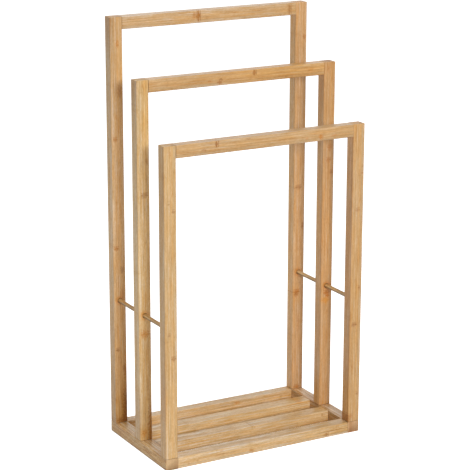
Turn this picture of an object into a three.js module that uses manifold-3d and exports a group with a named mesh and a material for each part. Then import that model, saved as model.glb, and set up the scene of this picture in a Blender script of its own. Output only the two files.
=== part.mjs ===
// Free-standing bamboo towel rack: three upside-down U frames of falling height on one low base.
//
// Millimetres, +X to the right, +Y to the back, +Z up. The origin is the middle of the base's underside.
// Each frame is two posts with a towel rail let in between their upper ends. The posts stand on the
// base's side rails, and each is drawn down by a screw from below. The base's cross bars run between
// its side rails. Dowels hold the rails and the cross bars, and a thin rod ties the posts on each side.

import * as THREE from 'three';
import { mergeVertices } from 'three/addons/utils/BufferGeometryUtils.js';
import Module from 'manifold-3d';

// ---- driving dimensions ----

const RACK_WIDTH = 425; // outer faces of the posts
const RACK_DEPTH = 236.5; // front of the front posts to back of the back posts
const BACK_FRAME_HEIGHT = 820; // floor to top
const FRAME_STEP = 100.9; // each frame is this much lower than the one behind it

const POST_WIDTH = 24.6; // along X, also the width of the base's side rails
const POST_DEPTH = 22.4; // along Y, also the depth of the towel rails
const TOWEL_RAIL_HEIGHT = 23.7;

const BASE_HEIGHT = 22;
const FRONT_RAIL_DEPTH = 26;
const BACK_RAIL_DEPTH = 22;
const SLAT_DEPTH = 29;
const FRONT_SLAT_SETBACK = 72.5; // front of the base to the front of the slat
const REAR_SLAT_SETBACK = 142;

const EDGE_RADIUS = 1; // long edges of every bar
const END_EASING = 0.5; // small chamfer round the ends of every bar
const GLUE_LINE = 0.1; // between two flat faces that are glued or drawn together

const ROD_RADIUS = 4;
const ROD_HEIGHT = 272; // floor to the rod's axis
const ROD_SOCKET_DEPTH = 10; // in the front and back posts
const ROD_CLEARANCE = 0.3;
const ROD_END_CHAMFER = 0.6;

const DOWEL_RADIUS = 4;
const DOWEL_CLEARANCE = 0.3; // round the dowel, for glue
const DOWEL_END_GAP = 0.5; // beyond each end of the dowel
const DOWEL_CHAMFER = 1;
const DOWEL_IN_CROSS_PIECE = 16; // length held in a towel rail or a cross bar
const CORNER_DOWEL_IN_POST = 14;
const BASE_SOCKET_WALL = 1.6; // left between a base dowel's socket and the screw beside it

const SCREW_LENGTH = 60;
const SCREW_SHANK_RADIUS = 2.5;
const SCREW_HEAD_RADIUS = 5;
const SCREW_HEAD_RIM = 0.5; // straight edge of the head, below its cone
const SCREW_POINT_LENGTH = 5;
const SCREW_POINT_RADIUS = 0.8;
const SCREW_RECESS = 1; // head below the surface
const SCREW_CLEARANCE = 0.3;
const HEX_SOCKET_FLATS = 4;
const HEX_SOCKET_DEPTH = 2;

const CORNER_SEGMENTS = 3; // facets of a bar's rounded edge
const ROD_SEGMENTS = 24; // facets round a rod and its holes
const FASTENER_SEGMENTS = 16; // facets round a dowel or a screw and its hole
const OVERCUT = 1; // how far a cutting tool runs past a face

// ---- places that follow from them ----

const clearWidth = RACK_WIDTH - 2 * POST_WIDTH; // between the posts of one frame
const crossLength = clearWidth - 2 * GLUE_LINE; // of the towel rails and the base's cross bars
const postX = (RACK_WIDTH - POST_WIDTH) / 2;
const innerFaceX = clearWidth / 2;
const outerPostY = (RACK_DEPTH - POST_DEPTH) / 2;

const baseSocketDepth = POST_WIDTH / 2 - SCREW_SHANK_RADIUS - SCREW_CLEARANCE - BASE_SOCKET_WALL;

const frames = [
  { name: 'back', y: outerPostY, height: BACK_FRAME_HEIGHT },
  { name: 'middle', y: 0, height: BACK_FRAME_HEIGHT - FRAME_STEP },
  { name: 'front', y: -outerPostY, height: BACK_FRAME_HEIGHT - 2 * FRAME_STEP },
];

const crossBars = [
  { name: 'front_rail', depth: FRONT_RAIL_DEPTH, setback: 0 },
  { name: 'front_slat', depth: SLAT_DEPTH, setback: FRONT_SLAT_SETBACK },
  { name: 'rear_slat', depth: SLAT_DEPTH, setback: REAR_SLAT_SETBACK },
  { name: 'back_rail', depth: BACK_RAIL_DEPTH, setback: RACK_DEPTH - BACK_RAIL_DEPTH },
];
for (const bar of crossBars) bar.y = bar.setback + (bar.depth - RACK_DEPTH) / 2;

const sides = [
  { name: 'left', sign: -1 },
  { name: 'right', sign: 1 },
];

// ---- materials ----

const bamboo = new THREE.MeshStandardMaterial({ color: 0xd0a872, roughness: 0.5, metalness: 0 });
const bambooPale = new THREE.MeshStandardMaterial({ color: 0xd8b37f, roughness: 0.55, metalness: 0 });
const beech = new THREE.MeshStandardMaterial({ color: 0xd9b98f, roughness: 0.7, metalness: 0 });
const zincSteel = new THREE.MeshStandardMaterial({ color: 0xb9bcc0, roughness: 0.35, metalness: 1 });

// ---- cutting ----

const wasm = await Module();
wasm.setup();

function toSolid(geometry) {
  const bare = geometry.clone();
  bare.deleteAttribute('normal');
  bare.deleteAttribute('uv');
  const merged = mergeVertices(bare, 1e-4);
  const vertProperties = new Float32Array(merged.attributes.position.array);
  const triVerts = new Uint32Array(merged.index.array);
  return new wasm.Manifold(new wasm.Mesh({ numProp: 3, vertProperties, triVerts }));
}

function toGeometry(solid) {
  const mesh = solid.getMesh();
  const geometry = new THREE.BufferGeometry();
  geometry.setAttribute('position', new THREE.BufferAttribute(mesh.vertProperties, 3));
  geometry.setIndex(new THREE.BufferAttribute(mesh.triVerts, 1));
  geometry.computeVertexNormals();
  return geometry;
}

function cut(geometry, tools) {
  let solid = toSolid(geometry);
  for (const tool of tools) solid = solid.subtract(toSolid(tool));
  return toGeometry(solid);
}

// ---- shapes ----

const turnTo = {
  x: (geometry) => geometry.rotateY(Math.PI / 2),
  y: (geometry) => geometry.rotateX(-Math.PI / 2),
  z: (geometry) => geometry,
};

// A bar centred on the origin, with rounded long edges and eased ends. Its length lies along axis,
// and [across, up] are its other two sizes in the order in which they follow in X, Y, Z.
function barGeometry(axis, length, [across, up]) {
  // turned to X, the section's own x stands along Z
  const [halfWidth, halfHeight] = axis === 'x' ? [up / 2, across / 2] : [across / 2, up / 2];
  const flatX = halfWidth - EDGE_RADIUS;
  const flatY = halfHeight - EDGE_RADIUS;
  const section = new THREE.Shape();
  section.absarc(flatX, -flatY, EDGE_RADIUS, -Math.PI / 2, 0);
  section.absarc(flatX, flatY, EDGE_RADIUS, 0, Math.PI / 2);
  section.absarc(-flatX, flatY, EDGE_RADIUS, Math.PI / 2, Math.PI);
  section.absarc(-flatX, -flatY, EDGE_RADIUS, Math.PI, 1.5 * Math.PI);
  section.closePath();
  const geometry = new THREE.ExtrudeGeometry(section, {
    depth: length - 2 * END_EASING,
    curveSegments: CORNER_SEGMENTS,
    bevelThickness: END_EASING,
    bevelSize: END_EASING,
    bevelOffset: -END_EASING,
    bevelSegments: 1,
  });
  geometry.translate(0, 0, END_EASING - length / 2);
  return turnTo[axis](geometry);
}

// A solid of revolution whose profile lists [radius, distance along the axis], with both ends on the axis.
function turnedGeometry(profile, axis = 'z', segments = FASTENER_SEGMENTS) {
  const points = profile.map(([radius, along]) => new THREE.Vector2(radius, along));
  const geometry = new THREE.LatheGeometry(points, segments);
  geometry.rotateX(Math.PI / 2);
  return turnTo[axis](geometry);
}

// A round pin with chamfered ends, centred on the origin.
function pinGeometry(axis, radius, length, chamfer, segments) {
  const half = length / 2;
  return turnedGeometry([
    [0, -half],
    [radius - chamfer, -half],
    [radius, chamfer - half],
    [radius, half - chamfer],
    [radius - chamfer, half],
    [0, half],
  ], axis, segments);
}

// A cutting tool for a round hole that runs along axis between two coordinates.
function boreTool(axis, radius, [from, to], { y = 0, z = 0 }, segments) {
  const tool = turnedGeometry([[0, from], [radius, from], [radius, to], [0, to]], axis, segments);
  return tool.translate(0, y, z);
}

// The outline of a countersunk screw that points up from the underside of its head at height 0,
// grown by clearance. A hole's outline runs on down through the surface below the head.
function screwProfile(clearance, below = 0) {
  const head = SCREW_HEAD_RADIUS + clearance;
  const shank = SCREW_SHANK_RADIUS + clearance;
  const coneEnd = SCREW_HEAD_RIM + SCREW_HEAD_RADIUS - SCREW_SHANK_RADIUS;
  return [
    [0, -below],
    [head, -below],
    [head, SCREW_HEAD_RIM],
    [shank, coneEnd],
    [shank, SCREW_LENGTH - SCREW_POINT_LENGTH],
    [SCREW_POINT_RADIUS + clearance, SCREW_LENGTH + clearance],
    [0, SCREW_LENGTH + clearance],
  ];
}

function screwHole(x, y, baseUnderside) {
  const hole = turnedGeometry(screwProfile(SCREW_CLEARANCE, SCREW_RECESS + OVERCUT));
  return hole.translate(x, y, baseUnderside + SCREW_RECESS);
}

function piece(name, geometry, material, x, y, z) {
  const mesh = new THREE.Mesh(geometry, material);
  mesh.name = name;
  mesh.position.set(x, y, z);
  return mesh;
}

// ---- the frames: their own group's origin is on the floor, in the middle of the frame ----

const postFoot = BASE_HEIGHT + GLUE_LINE;

function post(frame, side) {
  const length = frame.height - postFoot;
  const middle = postFoot + length / 2;
  const inward = -side.sign;
  const innerFace = (inward * POST_WIDTH) / 2;
  const socketEnd = innerFace - inward * (CORNER_DOWEL_IN_POST + DOWEL_END_GAP);
  const dowelZ = frame.height - TOWEL_RAIL_HEIGHT / 2 - middle;
  const socket = ascending(innerFace + inward * OVERCUT, socketEnd);
  const tools = [
    boreTool('x', DOWEL_RADIUS + DOWEL_CLEARANCE, socket, { z: dowelZ }),
    screwHole(0, 0, -middle),
    boreTool('y', ROD_RADIUS + ROD_CLEARANCE, rodSocket(frame), { z: ROD_HEIGHT - middle }, ROD_SEGMENTS),
  ];
  const geometry = cut(barGeometry('z', length, [POST_WIDTH, POST_DEPTH]), tools);
  return piece(`${frame.name}_${side.name}_post`, geometry, bamboo, side.sign * postX, 0, middle);
}

function ascending(a, b) {
  return a < b ? [a, b] : [b, a];
}

// Where the rod's hole starts and ends in a post: right through the middle one, blind in the others.
function rodSocket(frame) {
  const outside = POST_DEPTH / 2 + OVERCUT;
  const blindEnd = POST_DEPTH / 2 - ROD_SOCKET_DEPTH;
  const inward = -Math.sign(frame.y);
  return inward === 0 ? [-outside, outside] : ascending(inward * outside, inward * blindEnd);
}

// A cross piece between the two sides, with a dowel socket in each end.
function crossPiece(name, depth, height, material, y, z) {
  const end = crossLength / 2;
  const socketEnd = innerFaceX - DOWEL_IN_CROSS_PIECE - DOWEL_END_GAP;
  const radius = DOWEL_RADIUS + DOWEL_CLEARANCE;
  const tools = sides.map(({ sign }) => (
    boreTool('x', radius, ascending(sign * socketEnd, sign * (end + OVERCUT)), {})
  ));
  return piece(name, cut(barGeometry('x', crossLength, [depth, height]), tools), material, 0, y, z);
}

// The dowel that joins a cross piece to what stands beside it, held over the given length there.
function dowel(name, side, heldBeside, y, z) {
  const length = DOWEL_IN_CROSS_PIECE + heldBeside;
  const x = side.sign * (innerFaceX + (heldBeside - DOWEL_IN_CROSS_PIECE) / 2);
  return piece(name, pinGeometry('x', DOWEL_RADIUS, length, DOWEL_CHAMFER), beech, x, y, z);
}

function footScrew(frame, side) {
  const acrossCorners = HEX_SOCKET_FLATS / Math.sqrt(3);
  const socket = new THREE.CylinderGeometry(acrossCorners, acrossCorners, 2 * HEX_SOCKET_DEPTH, 6);
  socket.rotateX(Math.PI / 2);
  const geometry = cut(turnedGeometry(screwProfile(0)), [socket]);
  const name = `${frame.name}_${side.name}_foot_screw`;
  return piece(name, geometry, zincSteel, side.sign * postX, 0, SCREW_RECESS);
}

function towelFrame(frame) {
  const group = new THREE.Group();
  group.position.y = frame.y;
  const railZ = frame.height - TOWEL_RAIL_HEIGHT / 2;
  group.add(crossPiece(`${frame.name}_top_rail`, POST_DEPTH, TOWEL_RAIL_HEIGHT, bamboo, 0, railZ));
  for (const side of sides) {
    group.add(post(frame, side));
    group.add(dowel(`${frame.name}_${side.name}_corner_dowel`, side, CORNER_DOWEL_IN_POST, 0, railZ));
    group.add(footScrew(frame, side));
  }
  return group;
}

// ---- the base ----

function sideRail(side) {
  const inward = -side.sign;
  const innerFace = (inward * POST_WIDTH) / 2;
  const socket = ascending(innerFace + inward * OVERCUT, innerFace - inward * baseSocketDepth);
  const tools = crossBars.map((bar) => boreTool('x', DOWEL_RADIUS + DOWEL_CLEARANCE, socket, { y: bar.y }));
  for (const frame of frames) tools.push(screwHole(0, frame.y, -BASE_HEIGHT / 2));
  const geometry = cut(barGeometry('y', RACK_DEPTH, [POST_WIDTH, BASE_HEIGHT]), tools);
  return piece(`base_${side.name}_side_rail`, geometry, bambooPale, side.sign * postX, 0, 0);
}

function base() {
  const group = new THREE.Group();
  group.position.z = BASE_HEIGHT / 2;
  for (const side of sides) group.add(sideRail(side));
  for (const bar of crossBars) {
    group.add(crossPiece(`base_${bar.name}`, bar.depth, BASE_HEIGHT, bambooPale, bar.y, 0));
    for (const side of sides) {
      const name = `${bar.name}_${side.name}_dowel`;
      group.add(dowel(name, side, baseSocketDepth - DOWEL_END_GAP, bar.y, 0));
    }
  }
  return group;
}

// ---- the rods that tie the posts on each side ----

function spacerRod(side) {
  const betweenPosts = RACK_DEPTH - 2 * POST_DEPTH;
  const length = betweenPosts + 2 * (ROD_SOCKET_DEPTH - ROD_CLEARANCE);
  const geometry = pinGeometry('y', ROD_RADIUS, length, ROD_END_CHAMFER, ROD_SEGMENTS);
  return piece(`${side.name}_spacer_rod`, geometry, bambooPale, side.sign * postX, 0, ROD_HEIGHT);
}

// ---- the rack ----

const rack = new THREE.Group();
rack.name = 'towel_rack';
rack.add(base());
for (const frame of frames) rack.add(towelFrame(frame));
for (const side of sides) rack.add(spacerRod(side));

export default rack;
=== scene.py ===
"""Looks of the bamboo towel rack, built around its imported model.

Metres, +X to the right, +Y to the back, +Z up, as in the model. Every bar of the rack is laminated
bamboo: strips glued side by side, with long fibres, a few growth rings (nodes) and eased edges.
"""

import math

import bmesh
import bpy
from mathutils import Matrix, Vector


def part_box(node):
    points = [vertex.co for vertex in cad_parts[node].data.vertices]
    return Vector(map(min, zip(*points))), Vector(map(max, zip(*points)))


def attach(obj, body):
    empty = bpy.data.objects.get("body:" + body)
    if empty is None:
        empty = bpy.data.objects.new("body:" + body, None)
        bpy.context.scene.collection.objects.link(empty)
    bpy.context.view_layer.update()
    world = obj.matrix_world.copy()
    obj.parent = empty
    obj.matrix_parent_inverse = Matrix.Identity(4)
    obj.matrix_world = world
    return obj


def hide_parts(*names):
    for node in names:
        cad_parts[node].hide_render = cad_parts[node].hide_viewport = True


MM = 0.001
X_AXIS, Y_AXIS, Z_AXIS = 0, 1, 2

# ---- the view: the camera looks at a point near the middle of the rack ----

AIM = (0, 0.0015, 0.3993)
VIEW_DISTANCE = 3.527
VIEW_TURN = 29.25  # degrees towards the rack's left
VIEW_FALL = 15.46  # degrees downwards
VIEW_ROLL = 0.14  # degrees
LENS = 141.2  # mm
SENSOR = 36  # mm

# ---- light: all of it white ----

LAMP_DISTANCE = 5.0  # from where the camera aims
LAMPS = {  # degrees towards the rack's left, degrees up, metres across, watts
    "key": (9.5, 17.0, 1.0, 126.0),
    "overhead": (14.0, 88.0, 2.4, 95.0),
}
WORLD_LIGHT = 0.285  # what the white surroundings give the object
BACK_LIGHT = 1.8  # what a soft patch of them, behind and to the right, adds
TO_BACK_LIGHT = (0.3, 0.95, 0.05)
BACK_LIGHT_EDGE = 0.84  # the patch fades out at this cosine from its middle
MIRRORED_WORLD = 0.9  # what gloss and glass see of the white surroundings
FLOOR_REACH = 30.0  # each way from the middle
FLOOR_WHITE = 0.85
FLOOR_SEEN = 0.86  # what the floor adds to its own white for the camera
FLOOR_MIRRORED = 0.30  # and for gloss and glass

# ---- shapes ----

EDGE_RADIUS = 1.0 * MM  # long edges of the bars
EDGE_STEPS = 5
END_EASING = 0.5 * MM
END_STEPS = 3
AT_END = 0.1 * END_EASING  # a point this near a bar's end counts as on it
IN_ARC = 0.9 * EDGE_RADIUS  # and one this near two of its sides as on an eased edge
RING_SPACING = 25 * MM  # between a bar's rings of points
SMOOTH_BELOW = math.radians(35)
LARGE_FACE_WEIGHT = 80  # how far the large faces lead the shading of the edges

ROD_RADIUS = 4 * MM
ROD_EASING = 0.6 * MM
ROD_RING_SPACING = 10 * MM
HOLE_CLEARANCE = 0.3 * MM
HOLE_CHAMFER = 0.35 * MM
HOLE_STEPS = 48
SOCKET_DEPTH = 10 * MM  # of a rod's blind hole

SCREW_SHANK_RADIUS = 2.5 * MM
SCREW_HEAD_RADIUS = 5 * MM
SCREW_HEAD_RIM = 0.5 * MM
SCREW_HEAD_EASING = 0.2 * MM
SCREW_CONE_END = SCREW_HEAD_RIM + SCREW_HEAD_RADIUS - SCREW_SHANK_RADIUS  # under a 45 degree head
SCREW_PLAIN_SHARE = 0.3  # of the length has no thread
SCREW_POINT = 5 * MM
SCREW_TIP_RADIUS = 0.6 * MM
SCREW_THREAD_PITCH = 2.2 * MM
SCREW_THREAD_DEPTH = 0.75 * MM
SCREW_THREAD_ROOT = (0.3, 0.7)  # of the pitch: the root lies between these
SCREW_CLEARANCE = 0.3 * MM
SCREW_STEPS = 32
HEX_SIDES = 6
HEX_FLATS = 4 * MM
HEX_DEPTH = 2 * MM
HEX_DRILL_SHARE = 0.3  # the socket ends in a drill point, this wide next to the hexagon
HEX_DRILL_DEPTH = 1.35 * HEX_DEPTH

DOWEL_FLUTES = 16
DOWEL_FLUTE_STEPS = 3  # points round the dowel for each flute
DOWEL_FLUTE_DEPTH = 0.25 * MM
DOWEL_CHAMFER = 1 * MM

FRAME_NAMES = ("back", "middle", "front")
SIDE_NAMES = ("left", "right")
CROSS_BAR_NAMES = ("front_rail", "front_slat", "rear_slat", "back_rail")

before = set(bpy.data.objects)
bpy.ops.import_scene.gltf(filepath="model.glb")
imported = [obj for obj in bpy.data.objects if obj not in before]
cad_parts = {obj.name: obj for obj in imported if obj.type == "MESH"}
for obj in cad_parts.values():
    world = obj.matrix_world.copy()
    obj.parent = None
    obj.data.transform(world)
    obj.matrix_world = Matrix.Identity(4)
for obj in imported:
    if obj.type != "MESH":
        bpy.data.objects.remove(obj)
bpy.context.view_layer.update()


# ---- small helpers ----


def low_high(node):
    """The lowest and highest corner of a node, as vectors."""
    low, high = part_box(node)
    return Vector(low), Vector(high)


def new_object(name, data):
    made = bpy.data.objects.new(name, data)
    bpy.context.scene.collection.objects.link(made)
    return made


def mesh_from(name, bm):
    bmesh.ops.recalc_face_normals(bm, faces=bm.faces)
    mesh = bpy.data.meshes.new(name)
    bm.to_mesh(mesh)
    bm.free()
    return mesh


def skin(bm, rings):
    """Joins rings of points into a closed body."""
    for ring_a, ring_b in zip(rings, rings[1:]):
        count = len(ring_a)
        for i in range(count):
            j = (i + 1) % count
            bm.faces.new((ring_a[i], ring_a[j], ring_b[j], ring_b[i]))
    bm.faces.new(rings[0])
    bm.faces.new(rings[-1])


def finish_shading(piece):
    """Smooth shading that keeps the flats flat and the hard edges hard."""
    piece.data.shade_smooth()
    piece.data.set_sharp_from_angle(angle=SMOOTH_BELOW)
    weighted = piece.modifiers.new("weighted_normals", "WEIGHTED_NORMAL")
    weighted.keep_sharp = True
    weighted.weight = LARGE_FACE_WEIGHT


# ---- bars and holes ----


def section(half_a, half_b, radius):
    """A rounded rectangle's points, anticlockwise."""
    points = []
    for turn, (side_a, side_b) in enumerate(((1, -1), (1, 1), (-1, 1), (-1, -1))):
        centre_a = side_a * (half_a - radius)
        centre_b = side_b * (half_b - radius)
        for step in range(EDGE_STEPS + 1):
            angle = (turn - 1 + step / EDGE_STEPS) * math.pi / 2
            point = (centre_a + radius * math.cos(angle), centre_b + radius * math.sin(angle))
            points.append(point)
    return points


def axes_of(low, high):
    """The bar's length axis, and its other two in order."""
    size = high - low
    along = max(range(3), key=lambda i: size[i])
    across = [i for i in range(3) if i != along]
    return along, across[0], across[1]


def stations(length):
    """(distance from the start, inset of the section) of each ring along a bar."""
    ease = [
        (END_EASING * (1 - math.cos(t)), END_EASING * (1 - math.sin(t)))
        for t in (math.pi / 2 * i / END_STEPS for i in range(END_STEPS + 1))
    ]
    inner = length - 2 * END_EASING
    steps = max(1, round(inner / RING_SPACING))
    middle = [(END_EASING + inner * i / steps, 0) for i in range(1, steps)]
    return ease + middle + [(length - at, inset) for at, inset in reversed(ease)]


def bar_mesh(name, low, high):
    along, a, b = axes_of(low, high)
    centre = (low + high) / 2
    size = high - low
    bm = bmesh.new()
    rings = []
    for at, inset in stations(size[along]):
        ring = []
        half_a, half_b = size[a] / 2 - inset, size[b] / 2 - inset
        for point_a, point_b in section(half_a, half_b, EDGE_RADIUS - inset):
            place = centre.copy()
            place[along] = low[along] + at
            place[a] += point_a
            place[b] += point_b
            ring.append(bm.verts.new(place))
        rings.append(ring)
    skin(bm, rings)
    return mesh_from(name, bm)


def turned_mesh(name, profile, start, axis, steps=HOLE_STEPS, radius_at=None):
    """A solid of revolution along axis from start; profile lists (radius, distance)."""
    direction = Vector(axis)
    side = direction.orthogonal().normalized()
    other = direction.cross(side)
    bm = bmesh.new()
    rings = []
    for radius, at in profile:
        ring = []
        for i in range(steps):
            angle = 2 * math.pi * i / steps
            reach = radius_at(radius, i) if radius_at else radius
            offset = side * math.cos(angle) * reach + other * math.sin(angle) * reach
            ring.append(bm.verts.new(start + direction * at + offset))
        rings.append(ring)
    skin(bm, rings)
    return mesh_from(name, bm)


def hole_cutter(centre, inward, depth):
    """A cutter for a rod's hole, which flares a little at its mouth."""
    radius = ROD_RADIUS + HOLE_CLEARANCE
    profile = [
        (radius + 2 * HOLE_CHAMFER, -HOLE_CHAMFER),
        (radius, HOLE_CHAMFER),
        (radius, depth),
    ]
    return new_object("cutter", turned_mesh("cutter", profile, centre, inward))


def cut(piece, cutters):
    """Cuts the cutters from a piece for good, and removes them."""
    for cutter in cutters:
        boolean = piece.modifiers.new("cut", "BOOLEAN")
        boolean.object = cutter
        boolean.solver = "EXACT"
    depsgraph = bpy.context.evaluated_depsgraph_get()
    result = bpy.data.meshes.new_from_object(piece.evaluated_get(depsgraph))
    piece.modifiers.clear()
    plain = piece.data
    piece.data = result
    bpy.data.meshes.remove(plain)
    for cutter in cutters:
        mesh = cutter.data
        bpy.data.objects.remove(cutter)
        bpy.data.meshes.remove(mesh)


def rod_holes(frame_name, side_name):
    """The cutters for the rod's hole in one post: through the middle one, blind in the others."""
    low, high = low_high(f"{frame_name}_{side_name}_post")
    rod_low, rod_high = low_high(f"{side_name}_spacer_rod")
    centre = (rod_low + rod_high) / 2
    to_back, to_front = Vector((0, 1, 0)), Vector((0, -1, 0))
    front_mouth = Vector((centre.x, low.y, centre.z))
    back_mouth = Vector((centre.x, high.y, centre.z))
    if frame_name == "middle":
        half = (high.y - low.y) / 2 + HOLE_CLEARANCE
        return [hole_cutter(front_mouth, to_back, half), hole_cutter(back_mouth, to_front, half)]
    if frame_name == "back":
        return [hole_cutter(front_mouth, to_back, SOCKET_DEPTH)]
    return [hole_cutter(back_mouth, to_front, SOCKET_DEPTH)]


def hole_place(frame_name, side_name):
    """How far along and across a post its rod's hole is, in mm, and the face that it opens on:
    -1 for the front, 1 for the back and 0 for both."""
    low, high = low_high(f"{frame_name}_{side_name}_post")
    rod_low, rod_high = low_high(f"{side_name}_spacer_rod")
    along = (rod_low.z + rod_high.z) / 2 - low.z
    across = (rod_low.x + rod_high.x - low.x - high.x) / 2
    face = {"back": -1, "middle": 0, "front": 1}[frame_name]
    return along / MM, across / MM, face


def screw_cutter(frame_name, side_name):
    """A cutter for the countersunk hole up through a side rail, which starts below the rail."""
    low, high = low_high(f"{frame_name}_{side_name}_foot_screw")
    centre = (low + high) / 2
    head = SCREW_HEAD_RADIUS + SCREW_CLEARANCE
    shank = SCREW_SHANK_RADIUS + SCREW_CLEARANCE
    profile = [
        (head, -2 * low.z),
        (head, SCREW_HEAD_RIM),
        (shank, SCREW_CONE_END),
        (shank, high.z),
    ]
    start = Vector((centre.x, centre.y, low.z))
    return new_object("cutter", turned_mesh("cutter", profile, start, (0, 0, 1)))


def mark_grain(piece, low, high, stacked):
    """Gives each point its place in the timber, in mm: across the strips, across the other way,
    and along the fibres; and marks the ends and the rounded edges, those towards the front, the
    left and above as 1 and the others as -1. The strips are stacked along an axis."""
    along, a, b = axes_of(low, high)
    other = a if stacked == b else b
    mesh = piece.data
    mesh.attributes.new("grain", "FLOAT_VECTOR", "POINT")
    mesh.attributes.new("end_grain", "FLOAT", "POINT")
    mesh.attributes.new("eased_edge", "FLOAT", "POINT")
    grain, ends, edges = (mesh.attributes[name] for name in ("grain", "end_grain", "eased_edge"))
    centre = (low + high) / 2
    half = (high - low) / 2
    for i, vertex in enumerate(mesh.vertices):
        offset = vertex.co - centre
        place = (offset[stacked], offset[other], vertex.co[along] - low[along])
        grain.data[i].vector = [value / MM for value in place]
        from_end = half[along] - abs(offset[along])
        ends.data[i].value = 1.0 if from_end < AT_END else 0.0
        # edges towards the front, the left and above get a painted highlight, the others painted
        # shade
        in_arc = all(abs(offset[k]) > half[k] - IN_ARC for k in (a, b))
        in_view = (
            (along == X_AXIS or offset.x < 0)
            and (along == Y_AXIS or offset.y < 0)
            and (along == Z_AXIS or offset.z > 0)
        )
        edges.data[i].value = (1.0 if in_view else -1.0) if in_arc else 0.0


# ---- node trees ----


class Nodes:
    """Builds a node tree, a line for each step. A value is a socket, a number or a colour."""

    def __init__(self, tree):
        tree.nodes.clear()
        self.tree = tree

    def add(self, kind, **settings):
        node = self.tree.nodes.new(kind)
        for name, value in settings.items():
            setattr(node, name, value)
        return node

    def put(self, socket, value):
        if isinstance(value, bpy.types.NodeSocket):
            self.tree.links.new(value, socket)
        else:
            socket.default_value = value

    def fill(self, node, *values):
        """Puts the values into the node's first inputs, and gives its first output."""
        for socket, value in zip(node.inputs, values):
            self.put(socket, value)
        return node.outputs[0]

    def math(self, operation, *values, clamp=False):
        node = self.add("ShaderNodeMath", operation=operation, use_clamp=clamp)
        return self.fill(node, *values)

    def plus(self, first, second):
        return self.math("ADD", first, second)

    def minus(self, first, second):
        return self.math("SUBTRACT", first, second)

    def times(self, first, second):
        return self.math("MULTIPLY", first, second)

    def over(self, first, second):
        return self.math("DIVIDE", first, second)

    def largest(self, first, second):
        return self.math("MAXIMUM", first, second)

    def amount(self, value):
        return self.math("ABSOLUTE", value)

    def vector(self, operation, *values):
        node = self.add("ShaderNodeVectorMath", operation=operation)
        self.fill(node, *values)
        return node.outputs["Value" if operation in ("LENGTH", "DOT_PRODUCT") else "Vector"]

    def split(self, vector):
        node = self.add("ShaderNodeSeparateXYZ")
        self.fill(node, vector)
        return node.outputs

    def join(self, x, y, z):
        return self.fill(self.add("ShaderNodeCombineXYZ"), x, y, z)

    def reach(self, x, y):
        """How far (x, y) is from (0, 0)."""
        return self.vector("LENGTH", self.join(x, y, 0.0))

    def noise(self, vector, detail=2.0, roughness=0.5):
        node = self.add("ShaderNodeTexNoise")
        self.put(node.inputs["Vector"], vector)
        node.inputs["Scale"].default_value = 1.0
        node.inputs["Detail"].default_value = detail
        node.inputs["Roughness"].default_value = roughness
        return node.outputs[0]

    def random(self, vector):
        node = self.add("ShaderNodeTexWhiteNoise", noise_dimensions="3D")
        self.put(node.inputs["Vector"], vector)
        return node.outputs["Color"]

    def spread(self, value, low, high, to_low=0.0, to_high=1.0, kind="SMOOTHSTEP"):
        """Maps low to to_low and high to to_high, and what lies beyond them no further."""
        node = self.add("ShaderNodeMapRange", interpolation_type=kind)
        return self.fill(node, value, low, high, to_low, to_high)

    def mix(self, factor, first, second, blend="MIX"):
        """Mixes colours, which are a Mix node's inputs 6 and 7 and its output 2."""
        node = self.add("ShaderNodeMix", data_type="RGBA", blend_type=blend)
        self.put(node.inputs["Factor"], factor)
        self.put(node.inputs[6], first)
        self.put(node.inputs[7], second)
        return node.outputs[2]

    def tinted(self, where, colour, tint):
        return self.mix(where, colour, tint, "MULTIPLY")

    def ramp(self, value, stops):
        node = self.add("ShaderNodeValToRGB")
        self.put(node.inputs[0], value)
        elements = node.color_ramp.elements
        while len(elements) < len(stops):
            elements.new(1.0)
        for element, (place, colour) in zip(elements, stops):
            element.position = place
            element.color = colour
        return node.outputs["Color"]

    def attribute(self, name, output):
        return self.add("ShaderNodeAttribute", attribute_name=name).outputs[output]

    def coordinate(self, name):
        return self.add("ShaderNodeTexCoord").outputs[name]


def linear(red, green, blue):
    """A colour written in 0 to 255 display values, as one of Blender's linear colours."""

    def channel(value):
        value = value / 255
        return value / 12.92 if value <= 0.04045 else ((value + 0.055) / 1.055) ** 2.4

    return (channel(red), channel(green), channel(blue), 1)


def new_material(name):
    material = bpy.data.materials.new(name)
    material.use_nodes = True
    nodes = Nodes(material.node_tree)
    shader = nodes.add("ShaderNodeBsdfPrincipled")
    nodes.put(nodes.add("ShaderNodeOutputMaterial").inputs[0], shader.outputs[0])
    return material, nodes, shader


# ---- bamboo: lengths are in mm on the timber, and depths are shares from 0 to 1 ----

BAMBOO_STOPS = (
    (0.00, linear(172, 114, 48)),
    (0.30, linear(198, 149, 88)),
    (0.55, linear(210, 168, 116)),
    (0.80, linear(218, 183, 141)),
    (1.00, linear(226, 198, 166)),
)
MARK_BROWN = linear(140, 88, 34)
MARK_ORANGE = linear(208, 130, 26)
MARK_AMBER = linear(240, 184, 88)
SPECK_BROWN = linear(130, 78, 34)
# the brown of painted shade, at the rim of a rod's hole and low on a bar
PAINTED_SHADE_BROWN = linear(84, 54, 28)
SEAM_BROWN = linear(120, 76, 40)
END_TAN = linear(203, 162, 118)
END_TAN_PALE = linear(217, 179, 134)
# a painted highlight and painted shade for the eased edges
PAINTED_EDGE_HIGHLIGHT = (1.06, 1.06, 1.09, 1)
PAINTED_EDGE_SHADE = (0.66, 0.58, 0.50, 1)
TOP_SHADE_AND_SHEEN = (0.92, 0.935, 0.955, 1)  # upward faces are painted a little darker and greyer: painted shade and sheen

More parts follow.
